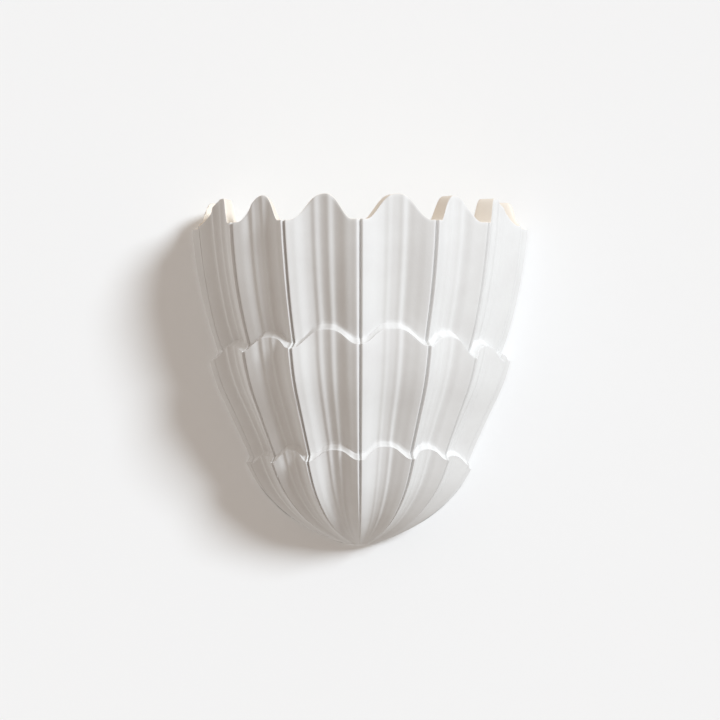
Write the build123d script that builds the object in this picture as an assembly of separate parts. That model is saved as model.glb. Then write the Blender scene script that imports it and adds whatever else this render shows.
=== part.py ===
"""Half-bell wall light of three tiers of dished petals, with its bracket and lamps.

Millimetres. +Z is up, +X is to the right seen from the room, and the room is towards -Y.
The wall is the plane Y = 0. The origin is the middle of the two wall slots of the plate.
"""
from build123d import *
from math import cos, pi, radians, sin, tan
import os

# ---------------------------------------------------------------- shell sizes
tip_depth = 190.0             # from the wall slots down to the point of the shell
shell_height = 309.5          # from the point up to the petal crests of the rim
petal_widths = (25.6, 21.6, 23.1, 19.7)   # degrees, from the front seam to the wall

# Radius over the ridges at stations up each tier, as (share of the shell's height, radius)
top_tier = ((0.485, 119.0), (0.62, 134.6), (0.737, 143.9), (0.866, 150.4), (1.021, 154.8))
middle_tier = ((0.162, 86.0), (0.278, 102.0), (0.388, 118.0), (0.491, 132.0),
               (0.575, 138.8), (0.672, 142.5))
bottom_tier = ((0.0, 6.0), (0.016, 23.0), (0.055, 50.0), (0.11, 74.5), (0.181, 93.5),
               (0.258, 106.0), (0.342, 114.0))

dish_depth = 11.0             # how far the middle of a petal lies behind its ridges
groove_depth = 4.6            # how far a seam lies behind the ridges beside it
ridge_place = 0.86            # ridge, as a share of the way from mid petal to seam
full_relief_radius = 105.0    # below this radius the dish and groove shrink with it
petal_facets = (0.18, 0.45, 0.68, 0.86, 1.0)   # shares where the section turns

rim_notch_depth = 22.0        # crest to seam at the open rim
rim_crest_share = 0.725       # share of a petal's half width that its crest takes up
lip_crest_share = 0.94
# Heights of a lip over the petals' middles and at the seams, from the left wall to the
# right, as shares of the shell's height
middle_lip_crests = (0.569, 0.586, 0.609, 0.63, 0.633, 0.611, 0.586, 0.566)
middle_lip_notches = (0.543, 0.549, 0.57, 0.578, 0.591, 0.585, 0.551, 0.543, 0.543)
bottom_lip_crests = (0.256, 0.271, 0.289, 0.294, 0.304, 0.294, 0.271, 0.253)
bottom_lip_notches = (0.246, 0.247, 0.255, 0.262, 0.268, 0.268, 0.262, 0.242, 0.224)
lip_slope = 42.0              # degrees, slope of the cove on top of a lip

# Radius of the smooth hollow at stations, as (share of the shell's height, radius)
hollow = ((0.061, 20.0), (0.09, 42.0), (0.168, 65.0), (0.291, 83.0), (0.485, 105.0),
          (0.717, 121.5), (1.034, 131.0))
pad_thickness = 1.5
pad_radius = 5.0
pad_below_rim = 8.0           # middle of an upper pad, below the rim's seams
pad_above_lip = 2.0           # middle of a lower pad, above the bottom tier's lip

# ---------------------------------------------------------------- hanging sizes
bar_bottom = 23.0             # above the wall slots
bar_height = 22.0
bar_thickness = 3.0
bar_back = 6.0                # from the wall to the bar
bar_end_gap = 3.5             # between the bar's end and the hollow
bar_hole_from_end = 8.0
boss_radius = 14.0
boss_length = 30.0
insert_radius = 3.8
insert_length = 19.0
fit_gap = 0.05                # radial clearance of screws, inserts and plugs
m5_radius = 2.45
m5_head_radius = 4.5
m5_head_height = 2.8
m5_washer_radius = 5.5
m5_washer_thickness = 1.0

# ---------------------------------------------------------------- bracket sizes
plate_width = 120.0
plate_below = 48.0            # from the wall slots down to the plate's edge
plate_above = 54.0
plate_thickness = 2.0
plate_corner = 6.0
slot_spacing = 70.0
slot_width = 5.2
slot_length = 15.2
cable_hole_radius = 8.0
hook_spacing = 92.0
hook_width = 18.0
hook_lip_height = 14.0        # above the bar's lower edge
hook_gap = 0.3                # between the bar's face and the hook's lip
window_height = 24.0
clamp_height = 8.0            # clamp screw above the bar's lower edge
weld_nut_flats = 8.0
weld_nut_height = 4.0
clamp_tip_gap = 0.1           # the tips stand this far off the bar
clamp_shank = 10.0
clamp_head_radius = 7.0
clamp_head_length = 8.0
clamp_slot_width = 1.4
clamp_slot_depth = 1.6
grommet_bore = 5.0            # radius left for the supply cable
grommet_flange_radius = 10.5
grommet_flange_thickness = 1.5

# ---------------------------------------------------------------- lamp carrier
bridge_thickness = 2.0
bridge_top = -32.0            # upper face of the shelf, from the wall slots
bridge_stem_width = 44.0
bridge_flange_height = 14.0
bridge_arm_width = 26.0
bridge_arm_corner = 5.0
bridge_flange_corner = 4.0
bridge_arm_overhang = 14.0    # past each lamp's axis
lamp_spacing = 84.0
lamp_reach = 62.0             # from the wall to the lamps' axes
bridge_screw_spacing = 30.0
m4_radius = 1.95
m4_head_radius = 4.0
m4_head_height = 2.6

block_length = 36.0
block_width = 17.0
block_height = 15.0
block_reach = 33.5            # from the wall to the block's middle
pole_pitch = 11.0
pole_well_radius = 2.6
pole_well_depth = 5.0
pole_screw_radius = 2.3
pole_screw_height = 3.0
wire_hole_radius = 1.9
wire_hole_rise = 6.0          # above the shelf
m3_radius = 1.45
m3_head_radius = 2.6
m3_head_height = 1.8

earth_place = (36.0, -20.0)   # X and Z of the earth screw
earth_washer_radius = 4.6
earth_washer_thickness = 0.8
ring_radius = 4.2
ring_thickness = 0.8
ring_barrel_radius = 1.8
ring_barrel_length = 6.0
earth_lead_radius = 1.2
lamp_lead_radius = 1.8

# ---------------------------------------------------------------- lamp holders
holder_radius = 13.5
cup_height = 14.0
cup_wall = 2.0
nipple_radius = 4.95
nipple_bore = 3.5
nipple_above = 8.0            # above the shelf
nipple_below = 8.0
locknut_flats = 14.0
locknut_height = 3.0
sleeve_radius = 13.0
sleeve_height = 38.0
sleeve_floor = 12.0
thread_wall = 0.8
thread_length = 20.0
contact_radius = 3.5
contact_height = 3.0

lamp_cap_radius = 6.95
lamp_gap = 0.1                # radial clearance of the lamp in its thread shell
lamp_tip_radius = 2.5
lamp_tip_height = 1.5
lamp_insulator_height = 2.5
lamp_cap_length = 21.0
lamp_length = 78.0
lamp_globe_radius = 22.5
lamp_glass_wall = 1.0
lamp_glass_step = 0.6         # the glass stands this far inside the cap's edge
lamp_neck_slope = 35.0        # degrees from upright

petal_count = 2 * len(petal_widths)
wall_margin = 5.0             # sections run this far behind the wall before they are cut


# ---------------------------------------------------------------- shell
def height_to_z(height):
    """Height above the shell's point, as a height in the frame."""
    return height - tip_depth


def radius_at(stations, height):
    """Radius at a height above the point, straight between a tier's stations."""
    share = height / shell_height
    for (low, inner), (high, outer) in zip(stations, stations[1:]):
        if share <= high:
            return inner + (outer - inner) * (share - low) / (high - low)
    return stations[-1][1]


def seam_angles():
    """Angles of the seams from the front, in degrees, from the left wall to the right."""
    right = [0.0]
    for width in petal_widths:
        right.append(right[-1] + width * 90.0 / sum(petal_widths))
    return [-angle for angle in reversed(right[1:])] + right


seams = seam_angles()


def on_plan(angle, radius, z):
    """Point at an angle from the front, in degrees, and a radius about the bell's axis."""
    return Vector(radius * sin(radians(angle)), -radius * cos(radians(angle)), z)


def relief(share, radius):
    """How far the face lies behind its ridges at a share (-1 to 1) across a petal."""
    across = abs(share)
    if across < ridge_place:
        depth = dish_depth * cos(pi / 2 * (across / ridge_place) ** 1.3) ** 2
    else:
        depth = groove_depth * (across - ridge_place) / (1 - ridge_place)
    return depth * min(1.0, radius / full_relief_radius)


def tier_section(height, radius):
    """Level section of a tier: a fluted half round, run out past the wall plane."""
    z = height_to_z(height)
    shares = [-share for share in reversed(petal_facets)] + list(petal_facets)
    points = [on_plan(seams[0], radius - relief(1, radius), z)]
    for left, right in zip(seams, seams[1:]):
        for share in shares[1:]:
            angle = (left + right) / 2 + share * (right - left) / 2
            points.append(on_plan(angle, radius - relief(share, radius), z))
    points.append(points[-1] + Vector(0, wall_margin, 0))
    points.append(points[0] + Vector(0, wall_margin, 0))
    return make_face(Polyline(*points, close=True))


def tier_solid(stations):
    """Solid half bell of one tier, lofted through a section at each station."""
    return loft([tier_section(share * shell_height, radius) for share, radius in stations])


def scallop(half_width, crest_share, crest, feet, ends, top):
    """Face above a scalloped edge: level seams, an S up to a rounded crest and an S down.

    feet are the levels where the S curves end, left and right, and ends the levels at the
    seams. Each S is two tangent arcs whose radii are in the ratio bulge to 1 - bulge. Past
    the seams the edge runs on by cover and climbs by climb, as shares of half_width, which
    leaves the next petal's own edge alone.
    """
    crest_half = half_width * crest_share
    bulge, cover, climb = 0.6, 0.15, 1.05
    edges = []
    corners = []
    for side, foot, end in zip((-1, 1), feet, ends):
        rise = crest - foot
        turn = (side * crest_half * bulge, crest - rise * bulge)
        edges.append(TangentArc((0, crest), turn, tangent=(side, 0)))
        edges.append(TangentArc((side * crest_half, foot), turn, tangent=(-side, 0)))
        past_seam = (side * half_width * (1 + cover), end + half_width * climb)
        edges.append(Polyline((side * crest_half, foot), (side * half_width, end), past_seam))
        corners.append(past_seam)
    edges.append(Polyline(corners[0], (corners[0][0], top), (corners[1][0], top), corners[1]))
    return make_face(edges)


def scallop_cutter(stations, index, crest, notches, crest_share, slope, reach):
    """Prism above one petal's scalloped edge, sloping down outwards by slope.

    crest and notches are heights above the point where the edge shall meet the tier's
    face, at mid petal and in the two seams.
    """
    left, right = seams[index], seams[index + 1]
    middle = radians((left + right) / 2)
    half = radians((right - left) / 2)
    radius = radius_at(stations, crest)
    lowest = radius_at(stations, min(notches))
    half_width = (lowest - relief(1, lowest)) * sin(half)
    out = Vector(sin(middle), -cos(middle), 0)
    along = out * cos(slope) - Vector(0, 0, sin(slope))
    place = Plane(origin=out * radius + Vector(0, 0, height_to_z(crest)),
                  x_dir=(cos(middle), sin(middle), 0), z_dir=along)

    def level(height, share):
        face = radius_at(stations, height)
        distance = (face - relief(share, face)) * cos(half * share)
        return (height - crest + (distance - radius) * tan(slope)) * cos(slope)

    feet = [level(notch, max(crest_share, ridge_place)) for notch in notches]
    ends = [level(notch, 1.0) for notch in notches]
    face = place * scallop(half_width, crest_share, level(crest, 0.0), feet, ends,
                           3 * rim_notch_depth)
    return extrude(face, amount=reach, both=True)


def rim_cutters():
    """Cutters of the scalloped rim, level through the wall of the shell."""
    notch = shell_height - rim_notch_depth
    return [scallop_cutter(top_tier, index, shell_height, (notch, notch), rim_crest_share,
                           0.0, shell_height / 6) for index in range(petal_count)]


def lip_cutters(stations, crests, notches):
    """Cutters of a lower tier's wavy lip, with a cove that rises inwards."""
    return [scallop_cutter(stations, index, crests[index] * shell_height,
                           [share * shell_height for share in notches[index:index + 2]],
                           lip_crest_share, radians(lip_slope), shell_height / 6)
            for index in range(petal_count)]


def hollow_solid():
    """Hollow of the shell: cones turned round the bell's axis."""
    points = [(radius, 0, height_to_z(share * shell_height)) for share, radius in hollow]
    floor = (0, 0, points[0][2])
    crown = (0, 0, points[-1][2])
    return revolve(make_face(Polyline(crown, floor, *points, close=True)), Axis.Z, 360)


def shell_shade():
    """The casting: three trimmed tiers, hollowed, with two bosses for the bar."""
    middle = tier_solid(middle_tier) - lip_cutters(
        middle_tier, middle_lip_crests, middle_lip_notches)
    bottom = tier_solid(bottom_tier) - lip_cutters(
        bottom_tier, bottom_lip_crests, bottom_lip_notches)
    body = tier_solid(top_tier) + middle + bottom
    body = body - hollow_solid() - rim_cutters()
    bosses = [Pos(x, -bar_back - bar_thickness, bar_middle) * along_y(boss_radius, boss_length)
              for x in (-bar_hole_x, bar_hole_x)]
    body = body + bosses
    holes = [Pos(x, -bar_back - bar_thickness, bar_middle)
             * along_y(insert_radius + fit_gap, insert_length) for x in (-bar_hole_x, bar_hole_x)]
    behind = Pos(0, -pad_thickness, 0) * Box(
        4 * tip_depth, 4 * tip_depth, 4 * tip_depth, align=(Align.CENTER, Align.MIN, Align.CENTER))
    return body - holes - behind


# ---------------------------------------------------------------- small shapes
def along_y(radius, length, bore=0.0):
    """Round bar or tube from the plane Y = 0 towards the room."""
    ring = Circle(radius) - Circle(bore) if bore else Circle(radius)
    return extrude(Plane.XZ * ring, amount=length)


def upright(radius, length, bore=0.0):
    """Round bar or tube from Z = 0 upwards."""
    ring = Circle(radius) - Circle(bore) if bore else Circle(radius)
    return extrude(ring, amount=length)


def screw_towards_wall(head_radius, head_height, shank_radius, shank_length):
    """Pan head whose seat is at Y = 0, head towards the room, with a cross recess."""
    head = along_y(head_radius, head_height)
    head = chamfer(head.edges().sort_by(Axis.Y)[0], head_height * 0.4)
    recess = Rectangle(head_radius * 1.1, head_radius * 0.25)
    cross = extrude(Plane.XZ * (recess + Rot(0, 0, 90) * recess), amount=head_height * 0.5)
    shank = Pos(0, shank_length, 0) * along_y(shank_radius, shank_length)
    return head + shank - Pos(0, -head_height * 0.5, 0) * cross


def mirrored(make):
    """A piece and its mirror image, for a left and right pair in one node."""
    right = make()
    return [mirror(right, Plane.YZ), right]


def lead(points, radius):
    """Round lead along runs and the largest tangent arcs that its runs allow."""
    radii = []
    for before, corner, after in zip(points, points[1:], points[2:]):
        first = Vector(corner) - Vector(before)
        second = Vector(after) - Vector(corner)
        shorter = min(first.length, second.length)
        radii.append(0.45 * shorter / tan(radians(first.get_angle(second)) / 2))
    print("lead radii", [round(value, 1) for value in radii])
    path = FilletPolyline(*points, radius=radii)
    start = Plane(origin=path @ 0, z_dir=path % 0)
    return sweep(start * Circle(radius), path=path)


# ---------------------------------------------------------------- hanging parts
bar_middle = bar_bottom + bar_height / 2
bar_front = bar_back + bar_thickness
bar_half_length = radius_at(hollow, tip_depth + bar_middle) - bar_end_gap
bar_hole_x = bar_half_length - bar_hole_from_end
hook_x = hook_spacing / 2
hook_front = bar_front + hook_gap + plate_thickness
clamp_z = bar_bottom + clamp_height


def hanging_bar():
    """Flat steel bar across the back of the casting."""
    outline = RectangleRounded(2 * bar_half_length, bar_height, bar_height * 0.25)
    outline -= Locations((-bar_hole_x, 0), (bar_hole_x, 0)) * Circle(m5_radius + 6 * fit_gap)
    return Pos(0, -bar_back, bar_middle) * extrude(Plane.XZ * outline, amount=bar_thickness)


def bar_insert():
    """Brass insert cast into a boss, flush with its face."""
    return Pos(bar_hole_x, -bar_front, bar_middle) * along_y(
        insert_radius, insert_length, m5_radius + fit_gap)


def bar_washer():
    """Washer on the wall side of the bar."""
    back = bar_back - m5_washer_thickness
    return Pos(bar_hole_x, -back, bar_middle) * along_y(
        m5_washer_radius, m5_washer_thickness, m5_radius + 6 * fit_gap)


def bar_screw():
    """Screw put in from the wall side, through washer and bar into the insert."""
    length = m5_washer_thickness + bar_thickness + insert_length - 3
    screw = screw_towards_wall(m5_head_radius, m5_head_height, m5_radius, length)
    seat = bar_back - m5_washer_thickness
    return Pos(bar_hole_x, -seat, bar_middle) * Rot(0, 0, 180) * screw


def wall_pads():
    """Rubber pads on the flat back edges of the casting."""
    pads = []
    bottom_edge = bottom_lip_crests[0] * shell_height
    for height, tier in ((shell_height - rim_notch_depth - pad_below_rim, top_tier),
                         (bottom_edge + pad_above_lip, middle_tier)):
        outside = radius_at(tier, height) - groove_depth
        middle = (outside + radius_at(hollow, height)) / 2
        for x in (-middle, middle):
            pads.append(Pos(x, 0, height_to_z(height)) * along_y(pad_radius, pad_thickness))
    return pads


# ---------------------------------------------------------------- bracket parts
def hook():
    """One lanced hook: a shelf under the bar and a lip in front of it."""
    shelf = Box(hook_width, hook_front, plate_thickness,
                align=(Align.CENTER, Align.MAX, Align.MAX))
    lip = Pos(0, -hook_front + plate_thickness, -plate_thickness) * Box(
        hook_width, plate_thickness, hook_lip_height + plate_thickness,
        align=(Align.CENTER, Align.MAX, Align.MIN))
    bent = shelf + lip
    corner = bent.edges().filter_by(Axis.X).sort_by_distance((0, -hook_front, -plate_thickness))[0]
    bent = fillet(corner, plate_thickness * 0.9)
    hole = Pos(0, -hook_front + 2 * plate_thickness, clamp_height) * along_y(
        m5_radius + fit_gap, 3 * plate_thickness)
    return Pos(hook_x, 0, bar_bottom) * (bent - hole)


def wall_plate():
    """Pressed plate with wall slots, cable hole, hook windows and tapped holes."""
    height = plate_above + plate_below
    middle = (plate_above - plate_below) / 2
    outline = Pos(0, middle) * RectangleRounded(plate_width, height, plate_corner)
    outline -= Locations((-slot_spacing / 2, 0), (slot_spacing / 2, 0)) * SlotOverall(
        slot_length, slot_width)
    outline -= Circle(cable_hole_radius)
    window = Rectangle(hook_width, window_height, align=(Align.CENTER, Align.MIN))
    outline -= Locations((-hook_x, bar_bottom), (hook_x, bar_bottom)) * window
    screw_z = bridge_top - bridge_flange_height * 0.55
    tapped = [(-bridge_screw_spacing / 2, screw_z), (bridge_screw_spacing / 2, screw_z), earth_place]
    outline -= Locations(*tapped) * Circle(m4_radius + fit_gap)
    plate = extrude(Plane.XZ * outline, amount=plate_thickness)
    return plate + mirrored(hook)


def weld_nut():
    """Hexagon nut welded to the front of a hook's lip."""
    nut = RegularPolygon(weld_nut_flats / 2, 6, major_radius=False) - Circle(m5_radius + fit_gap)
    return Pos(hook_x, -hook_front, clamp_z) * extrude(Plane.XZ * nut, amount=weld_nut_height)


def clamp_screw(side):
    """Slotted thumb screw whose tip presses on the bar through the hook's lip."""
    shank = along_y(m5_radius, clamp_shank)
    head = Pos(0, -clamp_shank, 0) * along_y(clamp_head_radius, clamp_head_length)
    head = chamfer(head.edges().filter_by(GeomType.CIRCLE), clamp_head_length * 0.1)
    slot = Pos(0, -clamp_shank - clamp_head_length, 0) * Box(
        clamp_slot_width, 2 * clamp_slot_depth, 3 * clamp_head_radius)
    return Pos(side * hook_x, -bar_front - clamp_tip_gap, clamp_z) * (shank + head - slot)


def cable_grommet():
    """Snap-in bush in the plate's cable hole."""
    body = along_y(cable_hole_radius, plate_thickness, grommet_bore)
    flange = along_y(grommet_flange_radius, grommet_flange_thickness, grommet_bore)
    return body + Pos(0, -plate_thickness, 0) * flange


# ---------------------------------------------------------------- lamp carrier
lamp_x = lamp_spacing / 2
shelf_bottom = bridge_top - bridge_thickness
flange_screw_z = bridge_top - bridge_flange_height * 0.55
block_z = bridge_top
wire_z = bridge_top + wire_hole_rise


def lamp_bridge():
    """Steel T bent down at the wall: flange, stem and the arm under both lamps."""
    arm_middle = -lamp_reach
    stem = Pos(0, -plate_thickness) * Rectangle(
        bridge_stem_width, lamp_reach - plate_thickness, align=(Align.CENTER, Align.MAX))
    arm = Pos(0, arm_middle) * RectangleRounded(
        lamp_spacing + 2 * bridge_arm_overhang, bridge_arm_width, bridge_arm_corner)
    outline = stem + arm
    outline -= Locations((-lamp_x, arm_middle), (lamp_x, arm_middle)) * Circle(
        nipple_radius + fit_gap)
    outline -= Locations(*block_screw_places()) * Circle(m3_radius + fit_gap)
    shelf = Pos(0, 0, shelf_bottom) * extrude(outline, amount=bridge_thickness)
    flange = Pos(0, -plate_thickness, bridge_top) * Box(
        bridge_stem_width, bridge_thickness, bridge_flange_height,
        align=(Align.CENTER, Align.MAX, Align.MAX))
    flange = fillet(flange.edges().filter_by(Axis.Y).group_by(Axis.Z)[0], bridge_flange_corner)
    holes = [Pos(x, 0, flange_screw_z) * along_y(m4_radius + 6 * fit_gap, lamp_reach / 4)
             for x in (-bridge_screw_spacing / 2, bridge_screw_spacing / 2)]
    body = shelf + flange
    bend = body.edges().filter_by(Axis.X).sort_by_distance((0, -plate_thickness, bridge_top))[0]
    return fillet(bend, bridge_thickness * 0.9) - holes


def bridge_screw():
    """Screw that holds the bridge's flange to the plate."""
    seat = plate_thickness + bridge_thickness
    screw = screw_towards_wall(m4_head_radius, m4_head_height, m4_radius, seat)
    return Pos(bridge_screw_spacing / 2, -seat, flange_screw_z) * screw


def block_screw_places():
    """Places of the block's two fixing screws, between its poles."""
    return [(-pole_pitch / 2, -block_reach), (pole_pitch / 2, -block_reach)]


def pole_places():
    """Places of the wire screws: two to a pole, at the wall side and the room side."""
    offset = block_width * 0.25
    return [(x, -block_reach + y) for x in (-pole_pitch, 0, pole_pitch)
            for y in (-offset, offset)]


def terminal_block():
    """Three-pole block with screw wells above and wire holes through it."""
    block = Pos(0, -block_reach, block_z) * Box(
        block_length, block_width, block_height, align=(Align.CENTER, Align.CENTER, Align.MIN))
    block = chamfer(block.edges().filter_by(Axis.Z), 1.0)
    well_floor = block_z + block_height - pole_well_depth
    tools = []
    for x, y in pole_places():
        tools.append(Pos(x, y, well_floor) * upright(pole_well_radius, 2 * pole_well_depth))
    for x in (-pole_pitch, 0, pole_pitch):
        tools.append(Pos(x, -block_reach + block_width, wire_z) * along_y(
            wire_hole_radius, 2 * block_width))
    for x, y in block_screw_places():
        tools.append(Pos(x, y, block_z) * upright(m3_radius + 6 * fit_gap, block_height))
        tools.append(Pos(x, y, well_floor) * upright(m3_head_radius + fit_gap, block_height))
    return block - tools


def terminal_screws():
    """Slotted wire screws, seated on the floors of their wells."""
    floor = block_z + block_height - pole_well_depth
    screw = upright(pole_screw_radius, pole_screw_height)
    screw -= Pos(0, 0, pole_screw_height) * Box(3 * pole_screw_radius, 0.8, 1.6)
    return [Pos(x, y, floor) * screw for x, y in pole_places()]


def block_screws():
    """Screws that hold the block down on the shelf."""
    floor = block_z + block_height - pole_well_depth
    length = floor - shelf_bottom
    head = upright(m3_head_radius, m3_head_height)
    head -= Pos(0, 0, m3_head_height) * Box(3 * m3_head_radius, 0.8, 1.4)
    shank = Pos(0, 0, -length) * upright(m3_radius, length)
    return [Pos(x, y, floor) * (head + shank) for x, y in block_screw_places()]


def earth_washer():
    """Cup washer between the plate and the ring."""
    return Pos(earth_place[0], -plate_thickness, earth_place[1]) * along_y(
        earth_washer_radius, earth_washer_thickness, m4_radius + 4 * fit_gap)


def earth_ring():
    """Crimped ring on the earth lead: a flat eye and a barrel beside it."""
    seat = plate_thickness + earth_washer_thickness
    reach = ring_radius + ring_barrel_length
    eye = Circle(ring_radius) + Pos(-reach / 2, 0) * Rectangle(reach, 2 * ring_barrel_radius)
    eye -= Circle(m4_radius + 4 * fit_gap)
    flat = extrude(Plane.XZ * eye, amount=ring_thickness)
    barrel = Pos(-reach, -ring_barrel_radius, 0) * Rot(0, 90, 0) * upright(
        ring_barrel_radius, ring_barrel_length)
    return Pos(earth_place[0], -seat, earth_place[1]) * (flat + barrel)


def earth_screw():
    """Screw that clamps the earth ring to the plate."""
    seat = plate_thickness + earth_washer_thickness + ring_thickness
    screw = screw_towards_wall(m4_head_radius, m4_head_height, m4_radius, seat)
    return Pos(earth_place[0], -seat, earth_place[1]) * screw


def earth_lead():
    """Lead from the block's middle pole to the ring's barrel."""
    barrel_x = earth_place[0] - ring_radius - ring_barrel_length
    barrel_y = -plate_thickness - earth_washer_thickness - ring_barrel_radius
    start = (0, -block_reach + block_width / 2, wire_z)
    return lead([start, (1, start[1] + 9, wire_z + 0.5), (9, barrel_y - 4, earth_place[1] - 3),
                 (barrel_x - 7, barrel_y, earth_place[1]), (barrel_x, barrel_y, earth_place[1])],
                earth_lead_radius)


def lamp_lead(side):
    """Sleeved pair of leads from the block into the side of a lamp holder's cup."""
    front = -block_reach - block_width / 2
    end = lamp_x - holder_radius + cup_wall
    z = wire_z + 1
    points = [(pole_pitch, front, wire_z), (pole_pitch, front - 10, wire_z),
              (end - 11.5, -lamp_reach, z), (end, -lamp_reach, z)]
    return lead([(side * x, y, height) for x, y, height in points], lamp_lead_radius)


# ---------------------------------------------------------------- lamp holders
cup_top = bridge_top + cup_height
sleeve_floor_z = cup_top + sleeve_floor
thread_radius = lamp_cap_radius + lamp_gap


def at_lamp(side, z):
    """Place on a lamp's axis."""
    return Pos(side * lamp_x, -lamp_reach, z)


def holder_cup(side):
    """Lower cup of a holder, with the nipple's hole and the leads' hole."""
    cup = upright(holder_radius, cup_height)
    cup -= Pos(0, 0, cup_wall) * upright(holder_radius - cup_wall, cup_height)
    cup -= upright(nipple_radius + fit_gap, cup_height)
    entry = Pos(0, 0, wire_hole_rise + 1) * Rot(0, -90 * side, 0) * upright(
        lamp_lead_radius + fit_gap, holder_radius + 1)
    return at_lamp(side, bridge_top) * (cup - entry)


def holder_nipple(side):
    """Threaded tube that joins the holder to the bridge."""
    length = nipple_above + nipple_below + bridge_thickness
    return at_lamp(side, shelf_bottom - nipple_below) * upright(nipple_radius, length, nipple_bore)


def locknut(z):
    """Hexagon locknut on a nipple."""
    nut = RegularPolygon(locknut_flats / 2, 6, major_radius=False) - Circle(nipple_radius + fit_gap)
    return at_lamp(1, z) * extrude(nut, amount=locknut_height)


def holder_sleeve(side):
    """Upper body of a holder: a thick tube with a floor and a rounded mouth."""
    sleeve = upright(sleeve_radius, sleeve_height)
    rim = sleeve.edges().filter_by(GeomType.CIRCLE).sort_by(Axis.Z)[-1]
    sleeve = chamfer(rim, 1.2)
    bore = thread_radius + thread_wall + fit_gap
    sleeve -= Pos(0, 0, sleeve_floor) * upright(bore, sleeve_height)
    return at_lamp(side, cup_top) * sleeve


def holder_thread(side):
    """Brass shell that the lamp screws into."""
    return at_lamp(side, sleeve_floor_z) * upright(
        thread_radius + thread_wall, thread_length, thread_radius)


def holder_contact(side):
    """Sprung middle contact under the lamp."""
    button = upright(contact_radius, contact_height)
    rim = button.edges().filter_by(GeomType.CIRCLE).sort_by(Axis.Z)[-1]
    return at_lamp(side, sleeve_floor_z) * chamfer(rim, 0.8)


lamp_base = sleeve_floor_z + contact_height
lamp_cap_z = lamp_base + lamp_tip_height + lamp_insulator_height
lamp_glass_z = lamp_cap_z + lamp_cap_length


def lamp_insulator(side):
    """Insulating cone of the lamp's cap with the solder tip below it."""
    tip = upright(lamp_tip_radius, lamp_tip_height)
    cone = Cone(lamp_tip_radius + 0.6, lamp_cap_radius - 1.5, lamp_insulator_height,
                align=(Align.CENTER, Align.CENTER, Align.MIN))
    return at_lamp(side, lamp_base) * (tip + Pos(0, 0, lamp_tip_height) * cone)


def lamp_cap(side):
    """Screw cap of a lamp, drawn as the cylinder over its thread."""
    return at_lamp(side, lamp_cap_z) * upright(lamp_cap_radius, lamp_cap_length)


def filled_globe(radius, foot, centre):
    """Ball on a cone that narrows to the cap and leaves the ball along its face."""
    join = radians(lamp_neck_slope)
    neck = Cone(foot, radius * cos(join), centre - radius * sin(join),
                align=(Align.CENTER, Align.CENTER, Align.MIN))
    return neck + Pos(0, 0, centre) * Sphere(radius)


def lamp_globe(side):
    """Opal glass: a hollow globe, open at the cap."""
    centre = lamp_base + lamp_length - lamp_glass_z - lamp_globe_radius
    neck = lamp_cap_radius - lamp_glass_step
    glass = filled_globe(lamp_globe_radius, neck, centre)
    glass -= filled_globe(lamp_globe_radius - lamp_glass_wall, neck - lamp_glass_wall, centre)
    return at_lamp(side, lamp_glass_z) * glass


# ---------------------------------------------------------------- all pieces
pieces = {
    "shell_shade": shell_shade(),
    "hanging_bar": hanging_bar(),
    "hanging_bar_inserts": mirrored(bar_insert),
    "hanging_bar_screws": mirrored(bar_screw),
    "hanging_bar_washers": mirrored(bar_washer),
    "wall_pads": wall_pads(),
    "wall_plate": wall_plate(),
    "weld_nuts": mirrored(weld_nut),
    "cable_grommet": cable_grommet(),
    "lamp_bridge": lamp_bridge(),
    "lamp_bridge_screws": mirrored(bridge_screw),
    "terminal_block": terminal_block(),
    "terminal_screws": terminal_screws(),
    "terminal_fixing_screws": block_screws(),
    "earth_cup_washer": earth_washer(),
    "earth_ring_terminal": earth_ring(),
    "earth_screw": earth_screw(),
    "earth_lead": earth_lead(),
    "holder_locknuts": mirrored(lambda: locknut(shelf_bottom - locknut_height))
    + mirrored(lambda: locknut(bridge_top + cup_wall)),
}
for name, side in (("left", -1), ("right", 1)):
    pieces[f"clamp_screw_{name}"] = clamp_screw(side)
    pieces[f"lamp_lead_{name}"] = lamp_lead(side)
    pieces[f"holder_nipple_{name}"] = holder_nipple(side)
    pieces[f"holder_cup_{name}"] = holder_cup(side)
    pieces[f"holder_sleeve_{name}"] = holder_sleeve(side)
    pieces[f"holder_thread_{name}"] = holder_thread(side)
    pieces[f"holder_contact_{name}"] = holder_contact(side)
    pieces[f"lamp_insulator_{name}"] = lamp_insulator(side)
    pieces[f"lamp_cap_{name}"] = lamp_cap(side)
    pieces[f"lamp_globe_{name}"] = lamp_globe(side)

os.makedirs("parts", exist_ok=True)
for name, shape in pieces.items():
    if isinstance(shape, list):
        shape = Compound(children=[solid for part in shape for solid in part.solids()])
    export_step(shape, f"parts/{name}.step")
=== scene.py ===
"""Looks of the petal wall light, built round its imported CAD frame.

Metres. +Z is up, the wall is the plane Y = 0 and the room is towards -Y.
"""
from math import cos, pi, radians, sin

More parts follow.
